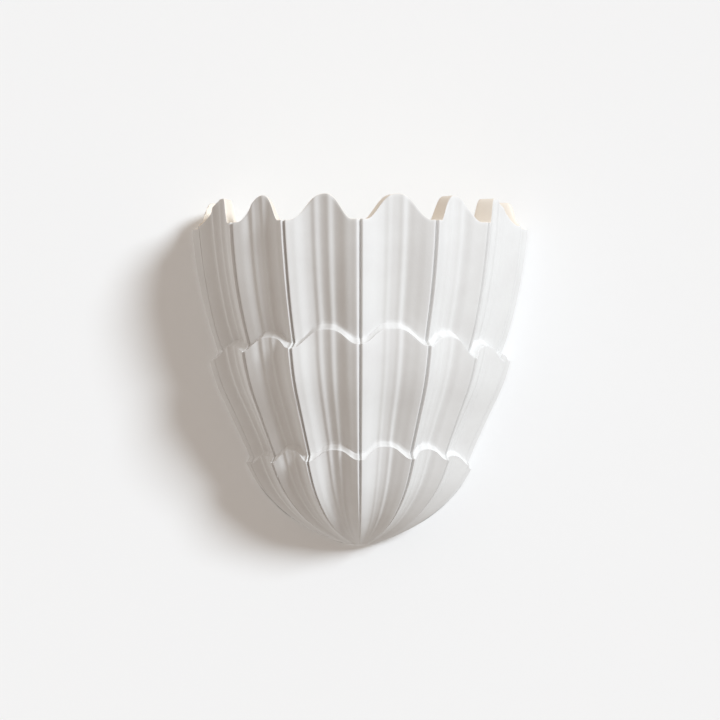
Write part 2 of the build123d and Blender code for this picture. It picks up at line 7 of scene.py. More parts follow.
import bmesh
import bpy
import numpy as np
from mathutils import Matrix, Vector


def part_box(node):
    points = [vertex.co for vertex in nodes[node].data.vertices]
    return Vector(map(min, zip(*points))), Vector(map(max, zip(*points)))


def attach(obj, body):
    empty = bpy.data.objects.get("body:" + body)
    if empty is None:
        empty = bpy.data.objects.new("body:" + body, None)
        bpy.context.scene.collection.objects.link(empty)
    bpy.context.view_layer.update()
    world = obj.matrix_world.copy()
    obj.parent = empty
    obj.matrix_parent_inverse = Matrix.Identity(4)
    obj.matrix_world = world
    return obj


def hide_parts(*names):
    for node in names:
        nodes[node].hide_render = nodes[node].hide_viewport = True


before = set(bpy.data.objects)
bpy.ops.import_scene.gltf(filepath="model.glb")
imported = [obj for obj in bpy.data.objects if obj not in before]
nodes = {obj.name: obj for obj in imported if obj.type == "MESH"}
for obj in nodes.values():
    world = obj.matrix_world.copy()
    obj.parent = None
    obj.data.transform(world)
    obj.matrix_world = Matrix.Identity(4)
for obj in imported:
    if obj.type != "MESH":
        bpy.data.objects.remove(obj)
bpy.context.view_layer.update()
mm = 0.001

# ------------------------------------------------------------ camera
# The photograph is taken square on to the wall with a long lens, a little below the
# wall slots, so the rims of the tiers arch upwards.
camera_from_wall = 1.95
camera_height = -0.0214
camera_data = bpy.data.cameras.new("camera")
camera_data.lens = 107.0
camera_data.sensor_width = 36.0
camera = bpy.data.objects.new("camera", camera_data)
camera.location = (0.0, -camera_from_wall, camera_height)
camera.rotation_euler = (pi / 2, 0.0, 0.0)
bpy.context.scene.collection.objects.link(camera)
bpy.context.scene.camera = camera

# ------------------------------------------------------------ lights
# One soft lamp stands high on the right, in front. The room's own light is warm and comes
# more from its ceiling. The wall throws the lamp's light back, so more light comes from
# behind, and most of it on the side away from the lamp.
key_direction = (-0.97, 1.0, -0.61)
key_data = bpy.data.lights.new("key", "SUN")
key_data.energy = 2.98
key_data.angle = radians(18.0)
key_data.color = (0.85, 0.93, 1.0)
key = bpy.data.objects.new("key", key_data)
down = np.array(key_direction) / np.linalg.norm(key_direction)
key.rotation_euler = (np.arccos(-down[2]), 0.0, np.arctan2(-down[0], down[1]))
bpy.context.scene.collection.objects.link(key)

floor_light = (0.41, 0.363, 0.326)
ceiling_light = (0.56, 0.5, 0.447)
wall_light_left = (1.0, 0.98, 0.95)
wall_light_right = (0.6, 0.585, 0.56)
background_white = 0.93
# Directions, as Z, Y and X from -1 to 1, between which each light blends into the next
floor_to_ceiling = (-0.6, 0.6)
room_to_wall = (-0.05, 0.15)
left_to_right = (-0.7, 0.7)
world = bpy.data.worlds.new("room")
bpy.context.scene.world = world
world.use_nodes = True
world.node_tree.nodes.clear()
view_settings = bpy.context.scene.view_settings
view_settings.view_transform = "Standard"


# ------------------------------------------------------------ wall
# A plain painted wall, flat and pale. It takes the shadow of the light, is seen only
# from its front, and passes the room's light so that the back of the light shows too.
class Signal:
    """An output of a node. Sums on it add Math nodes to its tree."""

    def __init__(self, tree, socket):
        self.tree = tree
        self.socket = socket

    def math(self, operation, *values):
        return add_node(self.tree, "ShaderNodeMath", {"operation": operation}, values)

    def __add__(self, other):
        return self.math("ADD", self, other)

    def __sub__(self, other):
        return self.math("SUBTRACT", self, other)

    def __rsub__(self, other):
        return self.math("SUBTRACT", other, self)

    def __mul__(self, other):
        return self.math("MULTIPLY", self, other)

    __radd__ = __add__
    __rmul__ = __mul__

    def above(self, low, high):
        """0 below low, 1 above high, smooth between."""
        return add_node(self.tree, "ShaderNodeMapRange", {"interpolation_type": "SMOOTHSTEP"},
                        {"Value": self, "From Min": low, "From Max": high})


def add_node(tree, kind, settings, values=(), output=0):
    """Adds a node, sets its settings, then fills its sockets with numbers or links."""
    node = tree.nodes.new(kind)
    for name, setting in settings.items():
        setattr(node, name, setting)
    pairs = values.items() if isinstance(values, dict) else enumerate(values)
    for name, value in pairs:
        socket = node.inputs[name]
        if isinstance(value, Signal):
            tree.links.new(value.socket, socket)
        elif socket.type == "RGBA":
            socket.default_value = (*value, 1.0)
        else:
            socket.default_value = value
    return Signal(tree, node.outputs[output]) if len(node.outputs) else None


def blend_colours(factor, first, second):
    """first where factor is 0, second where it is 1."""
    return add_node(factor.tree, "ShaderNodeMix", {"data_type": "RGBA"},
                    {0: factor, 6: first, 7: second}, output=2)


def seen_directly(tree):
    """1 for the rays of the camera and of what mirrors or lets it through."""
    def ray(name):
        return add_node(tree, "ShaderNodeLightPath", {}, output=name)
    plain = ray("Is Camera Ray") + ray("Is Glossy Ray") + ray("Is Transmission Ray")
    return plain.above(0.4, 0.6)


def looking_at(tree, axis):
    """One coordinate of the direction a ray leaves in, from -1 to 1."""
    way = add_node(tree, "ShaderNodeTexCoord", {}, output="Generated")
    return add_node(tree, "ShaderNodeSeparateXYZ", {}, (way,), output=axis)


room = world.node_tree
room_light = blend_colours(looking_at(room, "Z").above(*floor_to_ceiling),
                           floor_light, ceiling_light)
wall_light = blend_colours(looking_at(room, "X").above(*left_to_right),
                           wall_light_left, wall_light_right)
lit = add_node(room, "ShaderNodeBackground", {},
               {"Color": blend_colours(looking_at(room, "Y").above(*room_to_wall),
                                       room_light, wall_light), "Strength": 1.0})
shown = add_node(room, "ShaderNodeBackground", {},
                 {"Color": (1.0, 1.0, 1.0), "Strength": background_white})
sky = add_node(room, "ShaderNodeMixShader", {}, (seen_directly(room), lit, shown))
add_node(room, "ShaderNodeOutputWorld", {}, {"Surface": sky})

wall_paint = bpy.data.materials.new("wall_paint")
wall_paint.use_nodes = True
paint = wall_paint.node_tree
paint.nodes.clear()
from_behind = add_node(paint, "ShaderNodeNewGeometry", {}, output="Backfacing")
solid = seen_directly(paint) * (1.0 - from_behind)
clear = add_node(paint, "ShaderNodeBsdfTransparent", {})
matt = add_node(paint, "ShaderNodeBsdfDiffuse", {}, {"Color": (0.89, 0.89, 0.89)})
wall_look = add_node(paint, "ShaderNodeMixShader", {}, (solid, clear, matt))
add_node(paint, "ShaderNodeOutputMaterial", {}, {"Surface": wall_look})
wall_half = 3.0
wall_gap = 0.2 * mm
wall_mesh = bpy.data.meshes.new("wall")
wall_mesh.from_pydata([(x, wall_gap, z) for x, z in
                       ((-wall_half, -wall_half), (wall_half, -wall_half),
                        (wall_half, wall_half), (-wall_half, wall_half))], [], [(0, 1, 2, 3)])
wall_mesh.materials.append(wall_paint)
wall = bpy.data.objects.new("wall", wall_mesh)
bpy.context.scene.collection.objects.link(wall)


# ------------------------------------------------------------ wall plate
# Pressed steel plate with lanced hooks, and the nuts welded to them, powder coated
# white together. The coat has a fine orange-peel skin.
def new_finish(name, **constants):
    """A material with a Principled shader whose steady values are set straight on it."""
    material = bpy.data.materials.new(name)
    material.use_nodes = True
    tree = material.node_tree
    tree.nodes.clear()
    shader = tree.nodes.new("ShaderNodeBsdfPrincipled")
    shader.name = "surface"
    for socket, value in constants.items():
        shader.inputs[socket.replace("_", " ")].default_value = value
    add_node(tree, "ShaderNodeOutputMaterial", {},
             {"Surface": Signal(tree, shader.outputs[0])})
    return material


def feed(material, colour=None, roughness=None, metallic=None, height=None, relief=0.0):
    """Links what varies over the surface. relief is the height's full range in metres."""
    tree = material.node_tree
    surface = tree.nodes["surface"]
    for name, value in (("Base Color", colour), ("Roughness", roughness),
                        ("Metallic", metallic)):
        if value is not None:
            tree.links.new(value.socket, surface.inputs[name])
    if height is not None:
        bump = add_node(tree, "ShaderNodeBump", {},
                        {"Strength": 1.0, "Distance": relief, "Height": height})
        tree.links.new(bump.socket, surface.inputs["Normal"])


def place_on(material):
    """Object coordinates, in metres."""
    return add_node(material.node_tree, "ShaderNodeTexCoord", {}, output="Object")


def noise(material, size, detail=2.0, roughness=0.5, stretch=None):
    """Noise from 0 to 1 whose largest lumps are about size metres across."""
    tree = material.node_tree
    place = place_on(material)
    if stretch:
        place = add_node(tree, "ShaderNodeMapping", {}, {"Vector": place, "Scale": stretch})
    return add_node(tree, "ShaderNodeTexNoise", {},
                    {"Vector": place, "Scale": 1.0 / size, "Detail": detail,
                     "Roughness": roughness})


def dress(names, material):
    """Gives CAD nodes a finish through their own material slots."""
    for name in names:
        for holder in nodes[name].material_slots:
            holder.material = material


powder_coat = new_finish("powder_coat", Coat_Weight=0.15, Coat_Roughness=0.3)
coat_cloud = noise(powder_coat, 30 * mm)
coat_skin = noise(powder_coat, 1.1 * mm, detail=1.0)
feed(powder_coat,
     colour=blend_colours(coat_cloud, (0.74, 0.74, 0.71), (0.8, 0.8, 0.775)),
     roughness=0.34 + 0.14 * coat_skin, height=coat_skin, relief=0.06 * mm)
dress(["wall_plate", "weld_nuts"], powder_coat)

# ------------------------------------------------------------ cable bush
# Snap-in bush of dark rubber in the plate's cable hole, with a dull moulded skin.
bush_rubber = new_finish("bush_rubber", Specular_IOR_Level=0.35)
bush_grain = noise(bush_rubber, 0.5 * mm, detail=3.0)
bush_bloom = noise(bush_rubber, 6 * mm)
feed(bush_rubber,
     colour=blend_colours(bush_bloom, (0.03, 0.03, 0.031), (0.06, 0.06, 0.062)),
     roughness=0.62 + 0.2 * bush_grain, height=bush_grain, relief=0.03 * mm)
dress(["cable_grommet"], bush_rubber)

# ------------------------------------------------------------ zinc plated steel
# Hanging bar, screws, washers, nipples and locknuts are mild steel, zinc plated and
# passivated: a bluish grey metal with a faint yellow cloud and fine drawn lines.
zinc = new_finish("zinc_plate", Metallic=1.0)
zinc_cloud = noise(zinc, 9 * mm, detail=4.0, roughness=0.6)
zinc_tint = noise(zinc, 4 * mm, detail=2.0)
zinc_lines = noise(zinc, 1.2 * mm, detail=3.0, stretch=(0.06, 1.0, 1.0))
zinc_grey = blend_colours(zinc_cloud, (0.44, 0.45, 0.47), (0.66, 0.67, 0.68))
feed(zinc, colour=blend_colours(zinc_tint.above(0.55, 0.8), zinc_grey, (0.62, 0.58, 0.46)),
     roughness=0.28 + 0.22 * zinc_cloud, height=zinc_lines, relief=0.02 * mm)
dress(["hanging_bar", "hanging_bar_screws", "hanging_bar_washers", "lamp_bridge_screws",
       "terminal_screws", "terminal_fixing_screws", "holder_locknuts",
       "holder_nipple_left", "holder_nipple_right"], zinc)

# ------------------------------------------------------------ turned brass
# Inserts, earth parts, thread shells and contacts are turned or drawn brass, bright
# with a light tarnish in patches.
brass = new_finish("turned_brass", Metallic=1.0)
brass_stain = noise(brass, 5 * mm, detail=5.0, roughness=0.62)
brass_lines = noise(brass, 0.7 * mm, detail=2.0, stretch=(1.0, 1.0, 0.1))
feed(brass,
     colour=blend_colours(brass_stain.above(0.4, 0.75), (0.72, 0.52, 0.23), (0.4, 0.27, 0.11)),
     roughness=0.22 + 0.3 * brass_stain, height=brass_lines, relief=0.015 * mm)
dress(["hanging_bar_inserts", "earth_screw", "earth_cup_washer", "holder_thread_left",
       "holder_thread_right", "holder_contact_left", "holder_contact_right"], brass)


# ------------------------------------------------------------ clamp screws
# Two brass thumb screws hold the bar in its hooks. The head is knurled in straight
# flutes and chamfered at both ends; the shank carries its rolled thread.
def ring_mesh(name, places, material):
    """Mesh through rows of points, each row closed on itself."""
    rows, columns = places.shape[:2]
    index = np.arange(rows * columns).reshape(rows, columns)
    right = np.roll(index, -1, axis=1)
    quads = np.stack([index[:-1], right[:-1], right[1:], index[1:]], axis=-1).reshape(-1, 4)
    mesh = bpy.data.meshes.new(name)
    mesh.from_pydata(places.reshape(-1, 3), [], quads)
    return finish_mesh(name, mesh, material)


def finish_mesh(name, mesh, material, smooth_up_to=40.0):
    """Merges poles and seams, smooths all but the sharp edges and links the object."""
    work = bmesh.new()
    work.from_mesh(mesh)
    bmesh.ops.remove_doubles(work, verts=work.verts, dist=1e-6)
    bmesh.ops.dissolve_degenerate(work, edges=work.edges, dist=1e-7)
    work.to_mesh(mesh)
    work.free()
    mesh.polygons.foreach_set("use_smooth", np.ones(len(mesh.polygons), bool))
    mesh.set_sharp_from_angle(angle=radians(smooth_up_to))
    mesh.materials.append(material)
    piece = bpy.data.objects.new(name, mesh)
    bpy.context.scene.collection.objects.link(piece)
    return piece


def middle_of(node):
    """Middle of a CAD node's box."""
    low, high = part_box(node)
    return (np.array(low) + np.array(high)) / 2


thread_pitch = 0.8 * mm
thread_depth = 0.22 * mm
knurl_count = 40
knurl_depth = 0.35 * mm
shank_radius = 2.45 * mm
head_radius = 7.0 * mm
head_length = 8.0 * mm
screw_tip_chamfer = 0.6 * mm
head_chamfer = 0.8 * mm
screw_columns = 160
shank_rows = 110
head_rows = 26


def thumb_screw(node):
    """Radius over the angle a and the distance d from the tip. On the shank it is the
    shank's radius less a wave of the thread's pitch along d - pitch * a / 2 pi. On the
    head it is the head's radius less a wave of the knurl's count round a, and both
    ends taper in a chamfer."""
    low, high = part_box(node)
    axis_x, axis_z = middle_of(node)[0], middle_of(node)[2]
    tip = high[1]
    length = high[1] - low[1]
    shank = length - head_length
    around = np.linspace(0, 2 * pi, screw_columns, endpoint=False)[None, :]
    along = np.concatenate([np.linspace(0, shank, shank_rows),
                            np.linspace(shank, length, head_rows)])[:, None]
    thread = shank_radius - thread_depth * (
        0.5 + 0.5 * np.cos(2 * pi * along / thread_pitch - around))
    thread = thread - np.clip(screw_tip_chamfer - along, 0, None)
    edge = np.minimum(along - shank, length - along)
    knurl = 0.5 + 0.5 * np.cos(knurl_count * around)
    head = head_radius - np.clip(head_chamfer - edge, 0, None) - knurl_depth * knurl ** 2
    is_head = np.arange(len(along))[:, None] >= shank_rows
    radius = np.where(is_head, head, thread)
    radius = np.concatenate([radius[:1] * 0, radius, radius[-1:] * 0])
    along = np.concatenate([along[:1], along, along[-1:]])
    return np.stack([axis_x + radius * np.cos(around),
                     tip - along + 0 * around,
                     axis_z + radius * np.sin(around)], axis=-1)


for side in ("left", "right"):
    node = f"clamp_screw_{side}"
    screw = ring_mesh(f"thumb_screw_{side}", thumb_screw(node), brass)
    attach(screw, f"clamp_screw_{side}")
    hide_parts(node)

# ------------------------------------------------------------ lamp bridge
# Bent steel T under the lamps, coated with the plate's powder.
dress(["lamp_bridge"], powder_coat)

# ------------------------------------------------------------ terminal block
# Three-pole block moulded in natural nylon, slightly waxy.
nylon = new_finish("natural_nylon", Subsurface_Weight=0.2,
                   Subsurface_Radius=(0.002, 0.002, 0.001))
nylon_flow = noise(nylon, 8 * mm, detail=2.0)
nylon_grain = noise(nylon, 0.35 * mm, detail=2.0)
feed(nylon, colour=blend_colours(nylon_flow, (0.76, 0.74, 0.66), (0.83, 0.81, 0.75)),
     roughness=0.36 + 0.16 * nylon_grain, height=nylon_grain, relief=0.02 * mm)
dress(["terminal_block"], nylon)

# ------------------------------------------------------------ earth connection
# Crimped ring of tinned copper, and its lead in green with a yellow stripe.
tinned = new_finish("tinned_copper", Metallic=1.0)
tin_cloud = noise(tinned, 2 * mm, detail=4.0)
feed(tinned, colour=blend_colours(tin_cloud, (0.55, 0.54, 0.52), (0.74, 0.73, 0.71)),
     roughness=0.3 + 0.2 * tin_cloud, height=tin_cloud, relief=0.02 * mm)
dress(["earth_ring_terminal"], tinned)

earth_sheath = new_finish("earth_sheath")
sheath_grain = noise(earth_sheath, 1.5 * mm, detail=2.0)
green = blend_colours(sheath_grain, (0.03, 0.17, 0.03), (0.05, 0.23, 0.045))
stripe_face = add_node(earth_sheath.node_tree, "ShaderNodeSeparateXYZ", {},
                       (place_on(earth_sheath),), output="Z")
stripe = add_node(earth_sheath.node_tree, "ShaderNodeTexNoise", {"noise_dimensions": "1D"},
                  {"W": stripe_face, "Scale": 420.0, "Detail": 0.0}).above(0.5, 0.56)
feed(earth_sheath, colour=blend_colours(stripe, green, (0.75, 0.62, 0.06)),
     roughness=0.4 + 0.15 * sheath_grain, height=sheath_grain, relief=0.02 * mm)
dress(["earth_lead"], earth_sheath)

# ------------------------------------------------------------ lamp leads
# A pair of leads to each holder in a white silicone sleeve, dull and slightly dusty.
silicone = new_finish("silicone_sleeve", Specular_IOR_Level=0.4)
sleeve_dust = noise(silicone, 3 * mm, detail=4.0)
feed(silicone, colour=blend_colours(sleeve_dust, (0.72, 0.71, 0.67), (0.82, 0.81, 0.78)),
     roughness=0.45 + 0.25 * sleeve_dust, height=sleeve_dust, relief=0.03 * mm)
dress(["lamp_lead_left", "lamp_lead_right"], silicone)

# ------------------------------------------------------------ lamp holders
# Each holder is a cup and a sleeve moulded in pale heat-proof plastic.
holder_plastic = new_finish("holder_plastic", Specular_IOR_Level=0.45)
holder_flow = noise(holder_plastic, 12 * mm, detail=3.0)
holder_grain = noise(holder_plastic, 0.4 * mm, detail=2.0)
feed(holder_plastic,
     colour=blend_colours(holder_flow, (0.78, 0.76, 0.7), (0.84, 0.82, 0.77)),
     roughness=0.34 + 0.2 * holder_grain, height=holder_grain, relief=0.02 * mm)
dress(["holder_cup_left", "holder_cup_right", "holder_sleeve_left", "holder_sleeve_right"],
      holder_plastic)

# ------------------------------------------------------------ lamps
# Small opal globe lamps: blown glass, white inside, cemented into a rolled screw cap,
# with black glass and a solder tip below it.
cap_metal = new_finish("cap_metal", Metallic=1.0)
cap_cloud = noise(cap_metal, 4 * mm, detail=4.0)
feed(cap_metal, colour=blend_colours(cap_cloud, (0.6, 0.6, 0.6), (0.78, 0.78, 0.78)),
     roughness=0.2 + 0.18 * cap_cloud, height=cap_cloud, relief=0.015 * mm)
black_glass = new_finish("black_glass", Coat_Weight=0.4)
black_cloud = noise(black_glass, 2 * mm)
feed(black_glass,
     colour=blend_colours(black_cloud, (0.012, 0.012, 0.014), (0.03, 0.03, 0.034)),
     roughness=0.12 + 0.1 * black_cloud)
dress(["lamp_insulator_left", "lamp_insulator_right"], black_glass)
opal = new_finish("opal_glass", Coat_Weight=0.6, Coat_Roughness=0.06,
                  Subsurface_Weight=0.35, Subsurface_Radius=(0.01, 0.01, 0.009))
opal_cloud = noise(opal, 16 * mm, detail=2.0)
feed(opal, colour=blend_colours(opal_cloud, (0.86, 0.86, 0.84), (0.9, 0.9, 0.885)),
     roughness=0.2 + 0.08 * opal_cloud)
cap_pitch = 2.8 * mm
cap_thread_depth = 0.75 * mm
cap_plain_end = 3.0 * mm
cap_thread_fade = 1.5 * mm
cap_rows = 90
neck_foot = 6.4 * mm
neck_leaves = radians(-35)
neck_bend = 1.15
neck_rows = 15
ball_rows = 46
lamp_columns = 96


def screw_cap(node):
    """Radius over the angle a and height h: the cap's radius less a cosine wave of the
    thread's pitch along h - pitch * a / 2 pi, faded out towards the plain rim above."""
    low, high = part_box(node)
    centre = middle_of(node)
    outer = (high[0] - low[0]) / 2
    around = np.linspace(0, 2 * pi, lamp_columns, endpoint=False)[None, :]
    height = np.linspace(0, high[2] - low[2], cap_rows)[:, None]
    wave = 0.5 + 0.5 * np.cos(2 * pi * height / cap_pitch - around)
    plain = np.clip((high[2] - low[2] - cap_plain_end - height) / cap_thread_fade, 0, 1)
    radius = outer - cap_thread_depth * wave * plain
    radius = np.concatenate([radius[:1] * 0, radius, radius[-1:] * 0])
    height = np.concatenate([height[:1], height, height[-1:]])
    return np.stack([centre[0] + radius * np.cos(around), centre[1] + radius * np.sin(around),
                     low[2] + height + 0 * around], axis=-1)


def blown_globe(node):
    """A ball on a neck. The neck leaves the ball 35 degrees below its equator and narrows
    to its foot in the cap: radius = foot + (join - foot) * t ** bend, t going up it."""
    low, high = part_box(node)
    centre = middle_of(node)
    ball = (high[0] - low[0]) / 2
    ball_z = high[2] - ball
    join = ball * cos(neck_leaves)
    rise = np.linspace(0, 1, neck_rows + 1)[:-1]
    neck_z = low[2] + (ball_z + ball * sin(neck_leaves) - low[2]) * rise
    neck = neck_foot + (join - neck_foot) * rise ** neck_bend
    swing = np.linspace(neck_leaves, pi / 2, ball_rows)
    radius = np.concatenate([[0.0], neck, ball * np.cos(swing)])[:, None]
    height = np.concatenate([[low[2]], neck_z, ball_z + ball * np.sin(swing)])[:, None]
    around = np.linspace(0, 2 * pi, lamp_columns, endpoint=False)[None, :]
    return np.stack([centre[0] + radius * np.cos(around), centre[1] + radius * np.sin(around),
                     height + 0 * around], axis=-1)


for side in ("left", "right"):
    cap = ring_mesh(f"screw_cap_{side}", screw_cap(f"lamp_cap_{side}"), cap_metal)
    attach(cap, f"lamp_{side}")
    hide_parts(f"lamp_cap_{side}")
    globe = ring_mesh(f"opal_globe_{side}", blown_globe(f"lamp_globe_{side}"), opal)
    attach(globe, f"lamp_{side}")
    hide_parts(f"lamp_globe_{side}")

# ------------------------------------------------------------ wall buffers
# Soft pale rubber dots on the flat back edge keep the casting off the paint.
buffer_rubber = new_finish("buffer_rubber", Specular_IOR_Level=0.5)
buffer_grain = noise(buffer_rubber, 2 * mm)
feed(buffer_rubber, colour=blend_colours(buffer_grain, (0.7, 0.7, 0.68), (0.8, 0.8, 0.78)),
     roughness=0.3 + 0.2 * buffer_grain)
dress(["wall_pads"], buffer_rubber)

# ------------------------------------------------------------ shell
# The shade: a half bell cast in plaster in one piece, three tiers of dished petals
# whose edges are cut in scallops. The face is sanded and limed. The cut edges and the
# hollow are a deeper cream: partly the bare plaster's own tone, partly painted warm
# light bounced inside the bowl.
shell_low, shell_high = (np.array(corner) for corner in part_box("shell_shade"))
point_z = shell_low[2]
shell_height = shell_high[2] - shell_low[2]
shell_back = shell_high[1]
petal_widths = np.array([25.6, 21.6, 23.1, 19.7])
seams = np.concatenate([[0.0], np.cumsum(petal_widths)]) * 90.0 / petal_widths.sum()
seams = np.concatenate([-seams[:0:-1], seams])
petal_count = len(seams) - 1

# Radius over the ridges, as (height above the point, radius), millimetres
top_tier = ((140, 114), (186, 132.7), (228, 143.9), (262, 149.6), (312, 154.5))
middle_tier = ((40, 78), (66, 94), (90, 104.5), (116, 116.5), (150, 131.7), (173, 138),
               (206, 142.5))
bottom_tier = ((0, 0), (0.6, 8), (3.6, 19), (9, 33), (18, 51.5), (27, 65.5), (40.8, 81),
               (54.6, 92.5), (68, 100.5), (80, 106), (104, 114))
hollow = ((18.9, 20), (28, 42), (52, 65), (90, 83), (150, 105), (222, 121.5), (320, 131))

# The dishes of the three petals on the left, and of the last on the right, are shallower
dish_depths = np.array([9.5, 9.0, 8.5, 11.0, 11.5, 12.0, 11.0, 9.5]) * mm
dish_bend = 1.15
groove_depth = 3.6 * mm
groove_bend = 1.3
# Below this radius the relief shrinks with it
full_relief_radius = 105.0 * mm
# How far left of its petal's middle the deepest line of each dish stands
dish_lean = np.array([0.05, 0.0, -0.1, 0.15, 0.1, 0.08, 0.08, 0.05])
ridge_place = 0.93
rib_place = 0.2
rib_width = 0.09
rib_height = 1.0 * mm
# Fine flutes left by the chisel, as (height, radians over half a petal)
chisel_waves = ((0.42 * mm, 8.5), (0.2 * mm, 14.0), (0.06 * mm, 23.0))
chisel_fade = 0.2
rim_notch_depth = 22.0 * mm
# Where each petal's crest stands across it on the rim, and where its flanks end
rim_crest_places = np.array([0.5, 0.3, 0.15, 0.06, 0.0, -0.2, -0.35, -0.4])
rim_left_feet = np.array([-1.0, -1.0, -0.78, -0.86, -0.85, -0.78, -0.75, -0.9])
rim_right_feet = np.array([0.95, 0.66, 0.8, 0.8, 0.85, 0.78, 0.85, 1.0])
rim_bend = 1.25
# The rim's scallops are cut askew: degrees from its outer to its inner edge, by angle
skew_angles = (-60, -30, 10)
skew_turns = (6.0, 3.0, 0.8)
# Near the wall, from this angle on, the rim's outer edge rolls down to its notches
wall_roll_from = 68.0
wall_roll_over = 6.0
wall_roll_share = 0.95
wall_roll_power = 6
lip_foot = 0.92
lip_bend = 1.5
# Heights above the point of each lip at the petals' crests and at the seams
middle_lip_crests = (176, 181.4, 188.5, 195.0, 195.9, 189.0, 181.4, 175)
middle_lip_notches = (168, 170, 176.5, 179.0, 182.8, 181.0, 170.5, 168, 168)
bottom_lip_crests = (79, 84, 89.5, 91.0, 94.0, 91.0, 84, 78)
bottom_lip_notches = (76, 76.5, 79, 81.0, 82.9, 83.0, 81.0, 75, 69)
cove_rise = 5.0 * mm
edge_round = 0.9 * mm
# Slow waves left by the modeller's hand, as (radians per radian round the bell, radians
# per metre up it, radians at the start)
wobble_waves = ((3.1, 21, 0.3), (5.7, -34, 1.9), (9.2, 47, 4.0), (14.5, -15, 2.2))
wobble_height = 0.22 * mm
columns_per_petal = 80
column_crowding = 0.25
bottom_rows, middle_rows, top_rows = 36, 34, 40
cove_rows = 8
rim_rows = 10
hollow_rows = 30


def smooth_through(stations, at):
    """Cubic Hermite curve through stations, given in millimetres, worked out in metres.
    The slope at a station is the mean of the slopes on its two sides, weighted so that
    the shorter side counts more."""
    x, y = (np.array(values) * mm for values in zip(*stations))
    step = np.diff(x)
    rise = np.diff(y) / step
    slope = np.concatenate([rise[:1], (rise[:-1] * step[1:] + rise[1:] * step[:-1])
                            / (step[1:] + step[:-1]), rise[-1:]])
    place = np.clip(np.searchsorted(x, at, side="right") - 1, 0, len(step) - 1)
    t = np.clip((at - x[place]) / step[place], 0, 1)
    return (y[place] * (1 + 2 * t) * (1 - t) ** 2
            + slope[place] * step[place] * t * (1 - t) ** 2
            + y[place + 1] * t ** 2 * (3 - 2 * t)
            + slope[place + 1] * step[place] * t ** 2 * (t - 1))


def petal_columns():
    """Angle, petal index and share across the petal (-1 to 1) of every column. Columns
    close up towards the seams."""
    even = np.linspace(-1, 1, columns_per_petal + 1)
    share = even + column_crowding * np.sin(pi * even) / pi
    shares = np.concatenate([share[:-1]] * petal_count + [[1.0]])
    petal = np.append(np.repeat(np.arange(petal_count), columns_per_petal), petal_count - 1)
    low, high = seams[petal], seams[petal + 1]
    angle = (low + high) / 2 + shares * (high - low) / 2
    return np.radians(angle), petal, shares


angle, petal, share = petal_columns()


def scallop(share, crest, left_foot, right_foot, bend):
    """1 at the crest, 0 from the feet outwards: cos of the bent way to the foot, squared."""
    foot = np.where(share < crest, left_foot, right_foot)
    return np.cos(pi / 2 * np.clip((share - crest) / (foot - crest), 0, 1) ** bend) ** 2


def lip_line(crests, notches):
    """Height of a lip over the angle: from the seams' heights up to the petals' crests."""
    seam_line = np.interp(np.degrees(angle), seams, notches)
    rise = np.array(crests)[petal] - seam_line
    return (seam_line + rise * scallop(share, 0.0, -lip_foot, lip_foot, lip_bend)) * mm


hand = np.random.default_rng(7)
rib_lean = hand.uniform(0.0, 0.1, petal_count)
chisel_starts = hand.uniform(0, 2 * pi, (len(chisel_waves), petal_count))


def relief(radius):
    """How far the face lies behind its ridges, at a share s across a petal whose ridges
    stand at s = r. Between them it is a dish, depth * (1 - (s' / r) ** 2) ** bend, with s'
    leaning by lean * (1 - s ** 2). Outside them it is a groove, depth * ((|s| - r) /
    (1 - r)) ** bend. Two bell-shaped ribs beside mid petal and fine sine flutes stand up
    from it."""
    across = np.abs(share)
    bent = share + dish_lean[petal] * (1 - share ** 2)
    dish = dish_depths[petal] * np.clip(1 - (bent / ridge_place) ** 2, 0, 1) ** dish_bend
    scale = np.minimum(1, radius / full_relief_radius)
    groove = groove_depth * scale * (
        np.clip(across - ridge_place, 0, None) / (1 - ridge_place)) ** groove_bend
    from_rib = np.abs(share + rib_lean[petal]) - rib_place
    rib = rib_height * np.exp(-(from_rib / rib_width) ** 2)
    chisel = sum(size * np.sin(rate * share + start[petal])
                 for (size, rate), start in zip(chisel_waves, chisel_starts))
    inside = np.clip((ridge_place - across) / chisel_fade, 0, 1)
    return (np.where(across < ridge_place, dish, groove) - rib - chisel * inside) * scale


def tier_face(stations, height):
    """Radius of a tier's face at a height in every column."""
    ridge = smooth_through(stations, height)
    return ridge - relief(ridge)


def hand_wobble(height):
    """Unevenness left by the modeller: slow sine waves over the angle and the height."""
    return wobble_height * sum(np.sin(count * angle + rate * height + start)
                               for count, rate, start in wobble_waves)


